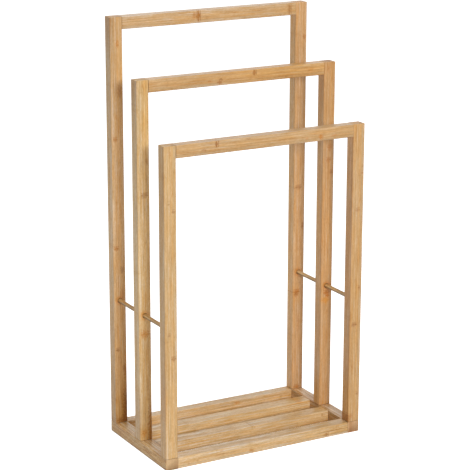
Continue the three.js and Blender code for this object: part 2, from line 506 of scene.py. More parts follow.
STRIPS = 4  # in each bar
ROD_STRIP_WIDTH = 20.0  # wider than a rod, so that none shows a seam
STRIP_MARGIN = 0.3  # of a strip: no seam shows nearer the bar's sides than this
SEAM_REACH = 0.45
SEAM_DEPTH = 0.24
SHADE_BLEND = 0.12  # of a strip: the next one's shade comes in this near a seam
WARMTH_SPAN = 4.0  # a ramp from 0 to 1 stands for a warmth from -2 to 2
WARMTH_EFFECT = (0.20, 0.02, -0.42)  # of a warmth of 1, on red, green and blue

# across the grain, along it, detail, and a shift that keeps a noise from looking like its neighbour
FIGURES = {
    "broad": (6.0, 200.0, 1.0, 0.0),
    "clouds": (3.6, 30.0, 1.0, 3.7),
    "streaks": (1.5, 130.0, 2.0, 0.0),
    "fibres": (0.32, 38.0, 2.0, 0.0),
    "flecks": (1.2, 5.5, 1.0, 31.0),
    "bundles": (0.5, 8.0, 1.0, 9.1),
    "warmth": (3.0, 42.0, 1.0, 17.3),
}
FIGURE_WEIGHTS = {"broad": 0.6, "clouds": 0.6, "streaks": 1.3, "fibres": 0.8, "flecks": 0.6}
FIGURE_ROUGHNESS = 0.55
FIGURE_DEEP = 1.5  # times as large into the bar as across its strips
SEED_SHIFT = 977.0  # along the grain, for a seed of 1
STRIP_SHIFT = 331.0  # and from one strip to the next
DRIFT = 2.5  # how far the fibres stray sideways
DRIFT_LENGTH = 90.0
DRIFT_RATE = 0.05  # of change across the grain
MIDDLE_TONE = 0.57  # where plain wood lies on BAMBOO_STOPS
STRIP_VARIETY = 0.10
WARMTH_VARIETY = 1.3
BUNDLE_FADE = (0.58, 0.76)  # of the noise, from no dark dash to a whole one
BUNDLE_DEPTH = 0.16

GROWTH_SPACING = 310.0
RING_REACH = 1.1
RING_DEPTH = 0.18
ZONE_REACH = 9.0
ZONE_DEPTH = 0.08
RING_WOBBLE = 0.012  # of GROWTH_SPACING
WOBBLE_RATE = 0.25  # of change across the grain

PATCH_FADE = (0.3, 1.15)  # from a growth mark's middle, in halves of its size
PATCH_DEPTH = 0.75
RAGGEDNESS = 1.4
RAGGED_RATES = (0.42, 0.3)  # of change across and along the grain
SHORT_MARK = 1.5  # marks up to this many times as long as wide have lines across the grain
LINE_RAGGEDNESS = 2.2
MARK_LINES = ((0.0, 0.5, 1.5, 1.0), (-4.5, 0.4, 1.3, 0.6))  # shift, full to, gone at, depth
LINE_FADE = (0.35, 0.52)  # of a mark's width, from its middle
SPECK_SIZE = (0.8, 1.6, 4.5)
SPECK_FADE = (0.52, 0.70)  # of a noise, from no dark speck to a whole one
SPECK_DEPTH = 0.65
PALE_SPECK_FADE = (0.30, 0.58)  # of it, from a pale speck to none
PALE_SPECK_DEPTH = 0.55  # what a pale speck leaves of the stain
MARK_STRENGTH = 1.35

HALO_FADE = (5.0, 13.0)  # from the middle of a rod's hole
HALO_DEPTH = 0.5
# painted shade on the rim of a rod's hole, where the gap round the rod is dark
RIM_SHADE_FADE = (4.6, 5.6)
RIM_SHADE_DEPTH = 0.7
GLUE_FADE = (0.5, 1.3)  # from a joint

END_DOT_SIZE = 0.45
END_DOT_FADE = (0.50, 0.70)
END_DOT_DEPTH = 0.4
LEFT_FADE = (-0.9, -0.4)  # of the normal's x
UP_FADE = (0.4, 0.9)  # and of its z

ROUGHNESS = 0.33
STREAK_ROUGHNESS = 0.16
END_ROUGHNESS = 0.22
LACQUER_IOR = 1.5
FIBRE_BUMP, RING_BUMP, SEAM_DENT, DASH_DENT = 0.5, 0.6, 0.8, 0.3  # of BUMP_HEIGHT
BUMP_STRENGTH = 0.25
BUMP_HEIGHT = 0.08 * MM

EVEN_SHADES = ((0.0, 0.0),) * STRIPS
ONE_SHADE = ((0.0, 0.0),)
EVEN_TONES = ((1.0, 0.0), (1.0, 0.0))
UNTINTED = (1.0, 1.0, 1.0)


def centred(nodes, value, weight):
    """A value from 0 to 1, brought to lie about 0, times a weight."""
    return nodes.times(nodes.minus(value, 0.5), weight)


def from_half(nodes, value):
    """How far a value is from halfway between two whole numbers."""
    return nodes.amount(nodes.minus(nodes.math("FRACT", value), 0.5))


def strips(nodes, x, width, seed, count):
    """The strip that a place lies in: three random numbers of its own, its number, how far across
    the bar the place is, from 0 to 1, and how near its seam."""
    position = nodes.plus(nodes.over(x, width), count / 2)
    position = nodes.largest(position, STRIP_MARGIN)
    position = nodes.math("MINIMUM", position, count - STRIP_MARGIN)
    index = nodes.math("FLOOR", position)
    own = nodes.split(nodes.random(nodes.join(index, seed, 0.5)))
    seam = nodes.spread(from_half(nodes, position), 0.5 - SEAM_REACH / width, 0.5)
    return own, index, nodes.over(position, count), seam


def shades_across(nodes, across, shades):
    """Each strip's own tone and warmth."""
    count = len(shades)
    stops = []
    for i, (tone, warmth) in enumerate(shades):
        colour = (0.5 + tone, 0.5 + warmth / WARMTH_SPAN, 0.5, 1)
        stops.append(((i + SHADE_BLEND) / count, colour))
        stops.append(((i + 1 - SHADE_BLEND) / count, colour))
    red, green, _ = nodes.split(nodes.ramp(across, stops))
    return nodes.minus(red, 0.5), centred(nodes, green, WARMTH_SPAN)


def tones_along(nodes, z, length, tones):
    """How the wood's tone and warmth change along a bar, from its lower, left or front end."""
    stops = []
    for i, (tone, warmth) in enumerate(tones):
        colour = (tone / 2, 0.5 + warmth / WARMTH_SPAN, 0.5, 1)
        stops.append((i / (len(tones) - 1), colour))
    red, green, _ = nodes.split(nodes.ramp(nodes.over(z, length), stops))
    return nodes.times(red, 2.0), centred(nodes, green, WARMTH_SPAN)


def warmed(nodes, colour, warmth):
    """Leans a colour to orange where the warmth is positive, and to a greyish straw elsewhere."""
    factors = [nodes.plus(1.0, nodes.times(warmth, effect)) for effect in WARMTH_EFFECT]
    return nodes.vector("MULTIPLY", colour, nodes.join(*factors))


def wood_figures(nodes, place, index, seed):
    """The noises in FIGURES. No figure runs across a seam: each strip is shifted lengthwise."""
    x, y, z = place
    z = nodes.plus(nodes.plus(z, SEED_SHIFT * seed), nodes.times(index, STRIP_SHIFT))
    spot = nodes.join(nodes.times(x, DRIFT_RATE), seed, nodes.over(z, DRIFT_LENGTH))
    x = nodes.plus(x, centred(nodes, nodes.noise(spot), DRIFT))
    figures = {}
    for name, (across, lengthwise, detail, shift) in FIGURES.items():
        deep = nodes.plus(nodes.over(y, FIGURE_DEEP * across), shift)
        spot = nodes.join(nodes.over(x, across), deep, nodes.over(z, lengthwise))
        figures[name] = nodes.noise(spot, detail=detail, roughness=FIGURE_ROUGHNESS)
    return figures


def growth_rings(nodes, place, own, index):
    """Bamboo's nodes, which each strip has at its own places: a thin ring and a soft zone by it."""
    x, y, z = place
    spot = nodes.join(nodes.times(x, WOBBLE_RATE), nodes.times(y, WOBBLE_RATE), index)
    shift = nodes.plus(own[0], centred(nodes, nodes.noise(spot), RING_WOBBLE))
    from_ring = from_half(nodes, nodes.plus(nodes.over(z, GROWTH_SPACING), shift))
    ring = nodes.spread(from_ring, 0.0, RING_REACH / GROWTH_SPACING, 1.0, 0.0)
    zone = nodes.spread(from_ring, 0.0, ZONE_REACH / GROWTH_SPACING, 1.0, 0.0)
    return ring, zone


def growth_mark(nodes, place, ragged, along, across, length, width):
    """Where a growth mark is: a ragged patch, and on a short one two lines across the grain."""
    x, _, z = place
    from_mark = nodes.minus(z, along)
    from_middle = nodes.minus(x, across)
    reach = nodes.reach(nodes.over(from_mark, length / 2), nodes.over(from_middle, width / 2))
    patch = nodes.spread(nodes.plus(reach, ragged), *PATCH_FADE, PATCH_DEPTH, 0.0)
    if length > SHORT_MARK * width:
        return patch
    wavy = nodes.plus(from_mark, nodes.times(ragged, LINE_RAGGEDNESS))
    lines = 0.0
    for shift, full, gone, depth in MARK_LINES:
        line = nodes.spread(nodes.amount(nodes.plus(wavy, shift)), full, gone, depth, 0.0)
        lines = nodes.largest(line, lines)
    full, gone = (share * width for share in LINE_FADE)
    within = nodes.spread(nodes.amount(from_middle), full, gone, 1.0, 0.0)
    return nodes.largest(patch, nodes.times(lines, within))


def growth_marks(nodes, place, colour, seed, marks):
    """Stains the colour where the bar has growth marks, with dark specks and paler ones in each."""
    x, y, z = place
    rate_x, rate_z = RAGGED_RATES
    spot = nodes.join(nodes.times(x, rate_x), seed, nodes.times(z, rate_z))
    ragged = centred(nodes, nodes.noise(spot), RAGGEDNESS)
    size_x, size_y, size_z = SPECK_SIZE
    deep = nodes.plus(nodes.over(y, size_y), seed)
    spot = nodes.join(nodes.over(x, size_x), deep, nodes.over(z, size_z))
    dashed = nodes.noise(spot, detail=1.0)
    specks = nodes.spread(dashed, *SPECK_FADE, 0.0, SPECK_DEPTH)
    depths = nodes.spread(dashed, *PALE_SPECK_FADE, PALE_SPECK_DEPTH, 1.0)
    for along, across, length, width, depth, orange in marks:
        mark = growth_mark(nodes, place, ragged, along, across, length, width)
        stain = nodes.mix(min(orange, 1.0), MARK_BROWN, MARK_ORANGE)
        stain = nodes.mix(specks, stain, SPECK_BROWN)
        stain = nodes.mix(max(orange - 1.0, 0.0), stain, MARK_AMBER)
        strength = MARK_STRENGTH * depth
        amount = nodes.math("MULTIPLY", nodes.times(mark, depths), strength, clamp=True)
        colour = nodes.mix(amount, colour, stain)
    return colour


def rod_hole_shade_and_halo(nodes, place, colour, hole):
    """Paints shade on the rim of a rod's hole, and colours the wood round it orange, on one face or
    on both.
    """
    x, y, z = place
    along, across, face = hole
    reach = nodes.reach(nodes.minus(z, along), nodes.minus(x, across))
    pierced = nodes.math("GREATER_THAN", nodes.times(y, face), -1.0)
    stain = nodes.times(nodes.spread(reach, *HALO_FADE, HALO_DEPTH, 0.0), pierced)
    rim_shade = nodes.times(nodes.spread(reach, *RIM_SHADE_FADE, RIM_SHADE_DEPTH, 0.0), pierced)
    colour = nodes.mix(stain, colour, MARK_ORANGE)
    return nodes.mix(rim_shade, colour, PAINTED_SHADE_BROWN)


def cut_ends(nodes, place, colour, end, across_bar, seed):
    """The cut ends soak up the lacquer and show the dark ends of the fibre bundles."""
    x, y, _ = place
    spot = nodes.join(nodes.over(x, END_DOT_SIZE), nodes.over(y, END_DOT_SIZE), seed)
    dots = nodes.spread(nodes.noise(spot, detail=1.0), *END_DOT_FADE, 0.0, END_DOT_DEPTH)
    end_colour = nodes.mix(dots, nodes.mix(across_bar, END_TAN_PALE, END_TAN), SEAM_BROWN)
    return nodes.mix(end, colour, end_colour)


def painted_edge_light(nodes, colour):
    """Paints a highlight on the eased edges towards the front, the left and above, and shade on the
    others.
    """
    edge = nodes.attribute("eased_edge", "Fac")
    colour = nodes.tinted(nodes.largest(edge, 0.0), colour, PAINTED_EDGE_HIGHLIGHT)
    return nodes.tinted(nodes.largest(nodes.times(edge, -1.0), 0.0), colour, PAINTED_EDGE_SHADE)


def glued_ends(nodes, colour, z, length, joints):
    """Glue darkens the wood along the joint at either end."""
    full, gone = GLUE_FADE
    at_start, at_end = joints
    if at_start:
        colour = nodes.mix(nodes.spread(z, full, gone, at_start, 0.0), colour, SEAM_BROWN)
    if at_end:
        line = nodes.spread(z, length - gone, length - full, 0.0, at_end)
        colour = nodes.mix(line, colour, SEAM_BROWN)
    return colour


def painted_face_light(nodes, colour, left_shade_tint):
    """Tints the faces that look left, partly with painted light and shade, and paints those that
    look up darker and greyer, as shade and sheen.
    """
    x, _, z = nodes.split(nodes.coordinate("Normal"))
    colour = nodes.tinted(nodes.spread(x, *LEFT_FADE, 1.0, 0.0), colour, (*left_shade_tint, 1))
    return nodes.tinted(nodes.spread(z, *UP_FADE), colour, TOP_SHADE_AND_SHEEN)


def bamboo(
    name,
    strip_width,
    length,
    joints,
    hole=None,
    seed=0.0,
    tint=UNTINTED,
    left_shade_tint=UNTINTED,
    contrast=1.0,
    shades=EVEN_SHADES,
    along=EVEN_TONES,
    marks=(),
    underside=None,
):
    """Laminated bamboo under a satin clear lacquer. LOOKS explains seed to underside."""
    material, nodes, shader = new_material(name)
    place = tuple(nodes.split(nodes.attribute("grain", "Vector")))
    x, y, z = place
    end = nodes.attribute("end_grain", "Fac")
    own, index, across_bar, seam = strips(nodes, x, strip_width, seed, len(shades))
    strip_tone, strip_warmth = shades_across(nodes, across_bar, shades)
    tone_along, warmth_along = tones_along(nodes, z, length, along)
    figures = wood_figures(nodes, place, index, seed)
    ring, zone = growth_rings(nodes, place, own, index)
    dashes = nodes.spread(figures["bundles"], *BUNDLE_FADE)

    level = nodes.plus(MIDDLE_TONE, strip_tone)
    level = nodes.plus(level, centred(nodes, own[1], STRIP_VARIETY))
    for kind, weight in FIGURE_WEIGHTS.items():
        level = nodes.plus(level, centred(nodes, figures[kind], weight * contrast))
    level = nodes.minus(level, nodes.times(dashes, BUNDLE_DEPTH))
    level = nodes.minus(level, nodes.times(zone, ZONE_DEPTH))
    colour = nodes.ramp(level, BAMBOO_STOPS)
    warmth = nodes.plus(strip_warmth, centred(nodes, figures["warmth"], WARMTH_VARIETY))
    colour = warmed(nodes, colour, nodes.plus(warmth, warmth_along))

    colour = nodes.mix(nodes.times(ring, RING_DEPTH), colour, MARK_BROWN)
    colour = cut_ends(nodes, place, colour, end, across_bar, seed)
    colour = growth_marks(nodes, place, colour, seed, marks)
    if hole:
        colour = rod_hole_shade_and_halo(nodes, place, colour, hole)
    colour = nodes.mix(nodes.times(seam, SEAM_DEPTH), colour, SEAM_BROWN)
    colour = painted_edge_light(nodes, colour)
    colour = glued_ends(nodes, colour, z, length, joints)
    if underside:
        dark_below, light_above, depth = underside
        shadow = nodes.spread(y, dark_below, light_above, depth, 0.0)
        colour = nodes.mix(shadow, colour, PAINTED_SHADE_BROWN)
    colour = nodes.vector("MULTIPLY", colour, nodes.join(tone_along, tone_along, tone_along))
    colour = nodes.tinted(1.0, colour, (*tint, 1))
    nodes.put(shader.inputs["Base Color"], painted_face_light(nodes, colour, left_shade_tint))

    rough = nodes.plus(ROUGHNESS, centred(nodes, figures["streaks"], STREAK_ROUGHNESS))
    rough = nodes.plus(rough, nodes.times(end, END_ROUGHNESS))
    nodes.put(shader.inputs["Roughness"], rough)
    shader.inputs["IOR"].default_value = LACQUER_IOR

    fibres = nodes.times(figures["fibres"], FIBRE_BUMP)
    height = nodes.plus(fibres, nodes.times(ring, RING_BUMP))
    height = nodes.minus(height, nodes.times(seam, SEAM_DENT))
    height = nodes.minus(height, nodes.times(dashes, DASH_DENT))
    bump = nodes.add("ShaderNodeBump")
    bump.inputs["Strength"].default_value = BUMP_STRENGTH
    bump.inputs["Distance"].default_value = BUMP_HEIGHT
    nodes.put(bump.inputs["Height"], height)
    nodes.put(shader.inputs["Normal"], bump.outputs[0])
    return material


# ---- the fasteners' materials: their noises are in steps for each metre of x, y and z ----

NOISE_RANGE = (0.2, 0.8)  # what a noise mostly keeps to
TURNING_MARKS = (1200, 1200, 5000)
MOTTLE = (180, 180, 180)
ZINC_ROUGHNESS = (0.24, 0.42)
ZINC_DARK, ZINC_PALE = linear(196, 198, 203), linear(222, 223, 226)

BEECH_GRAIN = (40, 1500, 1500)
BEECH_FLECKS = (350, 2600, 2600)
FLECK_FADE = (0.6, 0.75)
FLECK_DEPTH = 0.5
BEECH_ROUGHNESS = (0.6, 0.75)
BEECH_DARK, BEECH_PALE = linear(196, 152, 112), linear(224, 188, 150)
BEECH_BROWN = linear(150, 104, 70)


def screw_steel():
    """Zinc-plated steel: slightly mottled, with fine turning marks."""
    material, nodes, shader = new_material("zinc_steel")
    place = nodes.coordinate("Object")
    fine = nodes.noise(nodes.vector("MULTIPLY", place, TURNING_MARKS), detail=2.0)
    cloud = nodes.noise(nodes.vector("MULTIPLY", place, MOTTLE), detail=3.0)
    nodes.put(shader.inputs["Base Color"], nodes.mix(cloud, ZINC_DARK, ZINC_PALE))
    shader.inputs["Metallic"].default_value = 1.0
    nodes.put(shader.inputs["Roughness"], nodes.spread(fine, *NOISE_RANGE, *ZINC_ROUGHNESS))
    return material


def dowel_wood():
    """Raw beech: pinkish tan with short dark flecks along the grain."""
    material, nodes, shader = new_material("beech")
    place = nodes.coordinate("Object")
    grain = nodes.noise(nodes.vector("MULTIPLY", place, BEECH_GRAIN), detail=3.0)
    flecks = nodes.noise(nodes.vector("MULTIPLY", place, BEECH_FLECKS), detail=1.0)
    colour = nodes.mix(grain, BEECH_DARK, BEECH_PALE)
    flecked = nodes.spread(flecks, *FLECK_FADE, 0.0, FLECK_DEPTH)
    colour = nodes.mix(flecked, colour, BEECH_BROWN)
    nodes.put(shader.inputs["Base Color"], colour)
    nodes.put(shader.inputs["Roughness"], nodes.spread(grain, *NOISE_RANGE, *BEECH_ROUGHNESS))
    return material


# ---- each bar's own look ----
# the left face's tint is partly its own tone and partly painted light and shade
# seed: gives the bar a figure of its own
# tint, left_shade_tint: red, green and blue that the whole bar and its left face are multiplied by
# contrast: how strong the figure is
# shades: each strip's (tone, warmth), from the left or the bottom; a tone of 0 is even
# along: (tone, warmth) at even steps from the bar's lower, left or front end; a tone of 1 is even
# marks: growth marks, as (along, across, length, width, depth, orange): where they are, in mm from
#   the bar's lower, left or front end and from its middle; their size in mm; how dark they are; and
#   their colour, where 0 is brown, 1 orange and 2 amber
# underside: (dark below, light above, depth): a shadow low on the bar, in mm from its middle

ROD_LOOK = dict(tint=(1.04, 1.03, 0.87), shades=ONE_SHADE, underside=(-3.0, 2.0, 0.82))
LOOKS = {
    "back_left_post": dict(
        # the darker, warmer tone at the foot is partly painted shade, partly the wood's own warm
        # tone
        along=((0.72, 0.6), (0.98, 0.2), (1.1, -0.05), (1.08, -0.15), (0.9, -0.1)),
        left_shade_tint=(1.12, 1.17, 1.2),
        seed=0.11,
        tint=(1.0, 0.96, 0.87),
        shades=((-0.06, -0.25), (0.0, -0.05), (0.05, 0.35), (0.06, 0.2)),
        marks=(
            (790, -12.3, 120, 5, 0.35, 0.5),
            (748, 2, 18, 8, 0.7, 1.0),
            (658, 5, 32, 14, 0.6, 0.5),
            (610, -2, 14, 4, 0.5, 0.9),
            (567, -5, 12, 11, 0.6, 0.6),
            (354, -6, 11, 12, 0.75, 0.6),
            (311, 5, 18, 11, 0.5, 0.2),
            (262, 5, 26, 14, 0.45, 0.8),
            (150, -6, 9, 10, 0.6, 0.2),
            (112, 6, 18, 9, 0.5, 0.7),
            (105, 9, 44, 7, 0.7, 0.55),
            (50, 1, 60, 5, 0.45, 0.8),
            # partly painted shade: the post's lower right side, shaded by the post in front, with
            # the wood's own reddish colour
            (20, 9, 130, 17, 1.0, 0.5),
            (5, -2, 18, 24, 0.7, 0.5),
        ),
    ),
    "back_right_post": dict(
        along=((1.12, -0.2), (1.0, 0.2), (1.05, 0.0), (0.92, 0.0), (1.05, 0.0)),
        left_shade_tint=(1.12, 1.17, 1.12),
        seed=0.23,
        tint=(0.95, 0.86, 0.76),
        shades=((0.07, 0.1), (0.02, 0.0), (-0.03, 0.05), (-0.02, -0.05)),
        marks=(
            (730, 7, 14, 9, 0.65, 0.6),
            (427, -2, 13, 16, 0.55, 0.3),
            (346, 8, 16, 8, 0.7, 0.4),
            (209, -4, 9, 17, 1.0, 0.8),
            (204, -5, 13, 12, 0.8, 0.6),
            (140, 0, 50, 6, 0.35, 0.8),
            (4, -2, 10, 16, 0.6, 0.5),
        ),
    ),
    "back_top_rail": dict(
        along=((1.04, -0.2), (1.0, 0.0), (1.0, 0.0), (1.0, 0.0), (0.93, 0.2)),
        seed=0.31,
        tint=(0.98, 0.99, 0.99),
        shades=((-0.05, -0.2), (0.05, 0.05), (0.0, 0.05), (0.0, -0.1)),
        marks=(
            (160, 2, 11, 24, 0.95, 0.45),
            (151, 3, 10, 14, 0.5, 1.0),
            (361, 0, 12, 24, 0.6, 0.5),
        ),
    ),
    "middle_left_post": dict(
        along=((0.92, 0.0), (1.02, 0.1), (1.12, -0.1), (1.02, 0.0), (0.92, 0.0)),
        left_shade_tint=(1.02, 0.99, 0.92),
        seed=0.43,
        tint=(1.14, 1.19, 1.1),
        shades=((0.0, -0.3), (0.02, -0.15), (-0.04, 0.2), (-0.1, 0.1)),
        marks=(
            (690, -12.3, 120, 5, 0.35, 0.5),
            (50, -12.3, 120, 5, 0.25, 0.5),
            # partly painted shade: the post's lower right side, shaded by the post in front, with
            # the wood's own reddish colour
            (20, 10, 130, 13, 1.0, 0.5),
            (15, -4, 20, 14, 0.6, 0.95),
            (213, 0, 22, 22, 0.8, 0.8),
            (482, 2, 15, 18, 0.6, 0.3),
            (546, 7, 18, 8, 0.5, 0.4),
            (687, 0, 10, 5, 0.5, 0.9),
        ),
    ),
    "middle_right_post": dict(
        along=((1.08, -0.1), (1.0, 0.0), (1.05, 0.1), (0.96, -0.1), (0.92, 0.1)),
        left_shade_tint=(1.0, 1.0, 0.93),
        seed=0.57,
        tint=(0.94, 0.82, 0.66),
        shades=((0.04, 0.05), (0.02, 0.0), (0.0, 0.2), (0.04, 0.0)),
        marks=(
            (247, 4, 16, 16, 0.7, 0.95),
            (236, 0, 12, 16, 1.0, 0.85),
            (220, -2, 20, 20, 1.0, 1.5),
            (229, 3, 8, 10, 1.0, 0.95),
            (505, 0, 16, 14, 0.45, 0.7),
            (530, 3, 16, 14, 0.5, 0.7),
            (480, 6, 12, 8, 0.45, 0.5),
            (684, -3, 18, 6, 0.45, 0.9),
        ),
    ),
    "middle_top_rail": dict(
        along=((1.1, -0.2), (0.98, -0.2), (1.02, 0.1), (0.9, 0.5), (1.02, 0.2)),
        seed=0.61,
        tint=(0.9, 0.83, 0.67),
        shades=((-0.07, -0.3), (-0.06, 0.0), (0.05, 0.2), (0.05, 0.0)),
        marks=(
            (147, -6, 12, 9, 0.7, 0.4),
            (150, 0, 9, 5, 0.65, 0.3),
            (126, -2, 12, 5, 0.6, 1.0),
            (221, 6, 11, 12, 0.75, 0.5),
            (344, 0, 14, 4, 0.5, 1.0),
        ),
    ),
    "front_left_post": dict(
        along=((1.15, -0.2), (1.0, 0.1), (1.03, -0.1), (1.0, 0.0), (1.0, 0.0)),
        left_shade_tint=(0.99, 0.95, 0.86),
        seed=0.73,
        tint=(0.98, 0.99, 0.91),
        shades=((0.06, 0.0), (-0.03, 0.0), (0.0, 0.1), (-0.04, -0.2)),
        marks=(
            (110, -12.3, 110, 5, 0.3, 0.7),
            (196, 5, 12, 12, 0.55, 0.3),
            (242, -4, 9, 6, 0.45, 0.3),
            (475, 6, 8, 8, 0.5, 0.3),
            (490, -3, 6, 5, 0.45, 0.4),
            (581, 0, 14, 5, 0.45, 0.9),
        ),
    ),
    "front_right_post": dict(
        along=((0.97, 0.1), (0.98, 0.1), (0.98, 0.2), (1.05, -0.2), (1.03, 0.1)),
        left_shade_tint=(0.99, 0.92, 0.86),
        seed=0.79,
        tint=(0.92, 0.87, 0.76),
        shades=((0.05, 0.05), (0.0, 0.0), (0.0, 0.15), (-0.05, -0.3)),
        marks=(
            (6, -12, 30, 10, 0.8, 0.4),
            (12, -6, 12, 8, 0.5, 0.9),
            (57, 7, 8, 7, 0.45, 0.4),
            (114, -5, 10, 5, 0.45, 0.6),
            (200, -3, 12, 15, 0.6, 0.5),
            (274, 7, 8, 7, 0.55, 0.5),
            (429, 0, 10, 14, 0.4, 0.5),
            (501, 8, 7, 6, 0.45, 0.5),
        ),
    ),
    "front_top_rail": dict(
        along=((0.97, 0.0), (1.0, -0.1), (0.95, 0.0), (1.08, -0.2), (0.95, 0.0)),
        seed=0.83,
        tint=(0.91, 0.87, 0.77),
        shades=((-0.05, -0.25), (-0.05, 0.0), (0.07, 0.2), (0.03, 0.0)),
        marks=(
            (82, 6, 8, 13, 0.9, 0.3),
            (56, -3, 14, 6, 0.5, 0.4),
            (148, 8, 12, 5, 0.5, 0.5),
            (303, -4, 10, 12, 0.75, 1.0),
            (332, -4, 20, 6, 0.5, 0.9),
            (273, -4, 8, 5, 0.5, 1.0),
        ),
    ),
    "base_left_side_rail": dict(
        along=((0.95, 0.2), (1.08, 0.0), (0.95, 0.1), (1.03, 0.0), (0.88, 0.3)),
        seed=0.13,
        tint=(1.07, 1.12, 1.1),
        left_shade_tint=(0.93, 0.86, 0.65),
        contrast=1.9,
        underside=(-11, -6.5, 0.6),
    ),
    "base_right_side_rail": dict(
        along=((0.9, 0.4), (1.0, -0.2), (0.87, 0.1), (1.12, -0.15), (1.0, 0.2)),
        seed=0.29,
        tint=(1.08, 1.06, 1.02),
        # its inner face, which looks left, is darkened as painted shade
        left_shade_tint=(0.7, 0.65, 0.57),
        contrast=1.8,
        marks=((0, -6, 26, 14, 0.55, 0.4),),
    ),
    "base_front_rail": dict(
        along=((1.1, 0.0), (1.05, -0.2), (1.02, -0.1), (1.02, -0.1), (0.85, 0.3)),
        contrast=1.15,
        seed=0.37,
        tint=(1.03, 1.09, 1.11),
        shades=((0.0, -0.3), (0.0, 0.05), (0.0, 0.1), (0.0, 0.0)),
        marks=(
            (158, -5, 14, 9, 0.7, 0.7),
            (326, -5, 13, 9, 0.75, 0.4),
            (93, 7, 8, 5, 0.6, 0.9),
            (349, 7, 6, 6, 0.4, 0.6),
            (23, -5, 6, 6, 0.45, 0.5),
        ),
    ),
    "base_front_slat": dict(
        along=((1.05, -0.1), (1.08, -0.25), (1.03, -0.1), (0.93, 0.1), (1.05, 0.1)),
        contrast=1.2,
        seed=0.47,
        tint=(1.09, 1.14, 1.11),
        shades=((0.05, 0.2), (-0.05, -0.1), (0.0, 0.05), (0.0, -0.05)),
        marks=((201, 11, 5, 9, 0.35, 0.4), (258, -7, 12, 4, 0.55, 0.9), (361, 5, 6, 7, 0.45, 0.4)),
    ),
    "base_rear_slat": dict(
        along=((1.15, -0.2), (1.08, -0.3), (1.0, 0.0), (0.97, 0.1), (1.1, -0.1)),
        contrast=1.1,
        seed=0.53,
        tint=(1.12, 1.18, 1.14),
        shades=((-0.08, -0.2), (0.0, 0.1), (0.0, 0.05), (0.0, -0.05)),
        marks=((351, 11, 20, 6, 0.35, 1.0), (190, 2, 26, 5, 0.35, 0.9)),
    ),
    "base_back_rail": dict(
        along=((0.92, 0.3), (1.2, -0.5), (0.92, 0.1), (1.0, -0.15), (1.0, 0.15)),
        contrast=1.1,
        seed=0.67,
        tint=(1.11, 1.14, 1.1),
        shades=((0.0, 0.1), (0.04, 0.15), (-0.08, -0.1), (0.0, -0.15)),
        marks=((246, 5, 18, 8, 0.75, 0.8), (350, 1, 9, 5, 0.5, 0.4)),
    ),
    "left_spacer_rod": dict(seed=0.87, **ROD_LOOK),
    "right_spacer_rod": dict(seed=0.93, **ROD_LOOK),
}


# ---- the pieces ----

RAIL_JOINTS, BASE_JOINTS, FOOT_JOINT, NO_JOINTS = (0.3, 0.3), (0.4, 0.4), (0.7, 0), (0, 0)


def finish_piece(piece, node, material):
    piece.data.materials.clear()
    piece.data.materials.append(material)
    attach(piece, "root")
    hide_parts(node)


def make_bar(node, stacked, joints, cutters=(), hole=None):
    """A bar in the place of a node, its strips stacked along an axis; joints says how dark the glue
    is at its lower, left or front end and at the other, and hole where a rod meets it."""
    low, high = low_high(node)
    strip_width = (high - low)[stacked] / MM / STRIPS
    piece = new_object(f"{node}_bamboo", bar_mesh(node, low, high))
    if cutters:
        cut(piece, cutters)
    mark_grain(piece, low, high, stacked)
    finish_shading(piece)
    length = max(high - low) / MM
    material = bamboo(f"{node}_bamboo", strip_width, length, joints, hole, **LOOKS[node])
    finish_piece(piece, node, material)


def make_frames():
    for frame_name in FRAME_NAMES:
        make_bar(f"{frame_name}_top_rail", Z_AXIS, RAIL_JOINTS)
        for side_name in SIDE_NAMES:
            node = f"{frame_name}_{side_name}_post"
            holes = rod_holes(frame_name, side_name)
            place = hole_place(frame_name, side_name)
            make_bar(node, X_AXIS, FOOT_JOINT, holes, place)


def make_base():
    for side_name in SIDE_NAMES:
        cutters = [screw_cutter(frame_name, side_name) for frame_name in FRAME_NAMES]
        make_bar(f"base_{side_name}_side_rail", X_AXIS, NO_JOINTS, cutters)
    for bar_name in CROSS_BAR_NAMES:
        make_bar(f"base_{bar_name}", Z_AXIS, BASE_JOINTS)


def make_rods():
    for side_name in SIDE_NAMES:
        node = f"{side_name}_spacer_rod"
        low, high = low_high(node)
        centre = (low + high) / 2
        length = high.y - low.y
        steps = round(length / ROD_RING_SPACING)
        straight = length - 2 * ROD_EASING
        profile = [(ROD_RADIUS - ROD_EASING, 0)]
        profile += [(ROD_RADIUS, ROD_EASING + straight * i / steps) for i in range(steps + 1)]
        profile += [(ROD_RADIUS - ROD_EASING, length)]
        start = Vector((centre.x, low.y, centre.z))
        piece = new_object(f"{node}_bamboo", turned_mesh(node, profile, start, (0, 1, 0)))
        mark_grain(piece, low, high, X_AXIS)
        finish_shading(piece)
        look = LOOKS[node]
        material = bamboo(f"{node}_bamboo", ROD_STRIP_WIDTH, length / MM, NO_JOINTS, **look)
        finish_piece(piece, node, material)


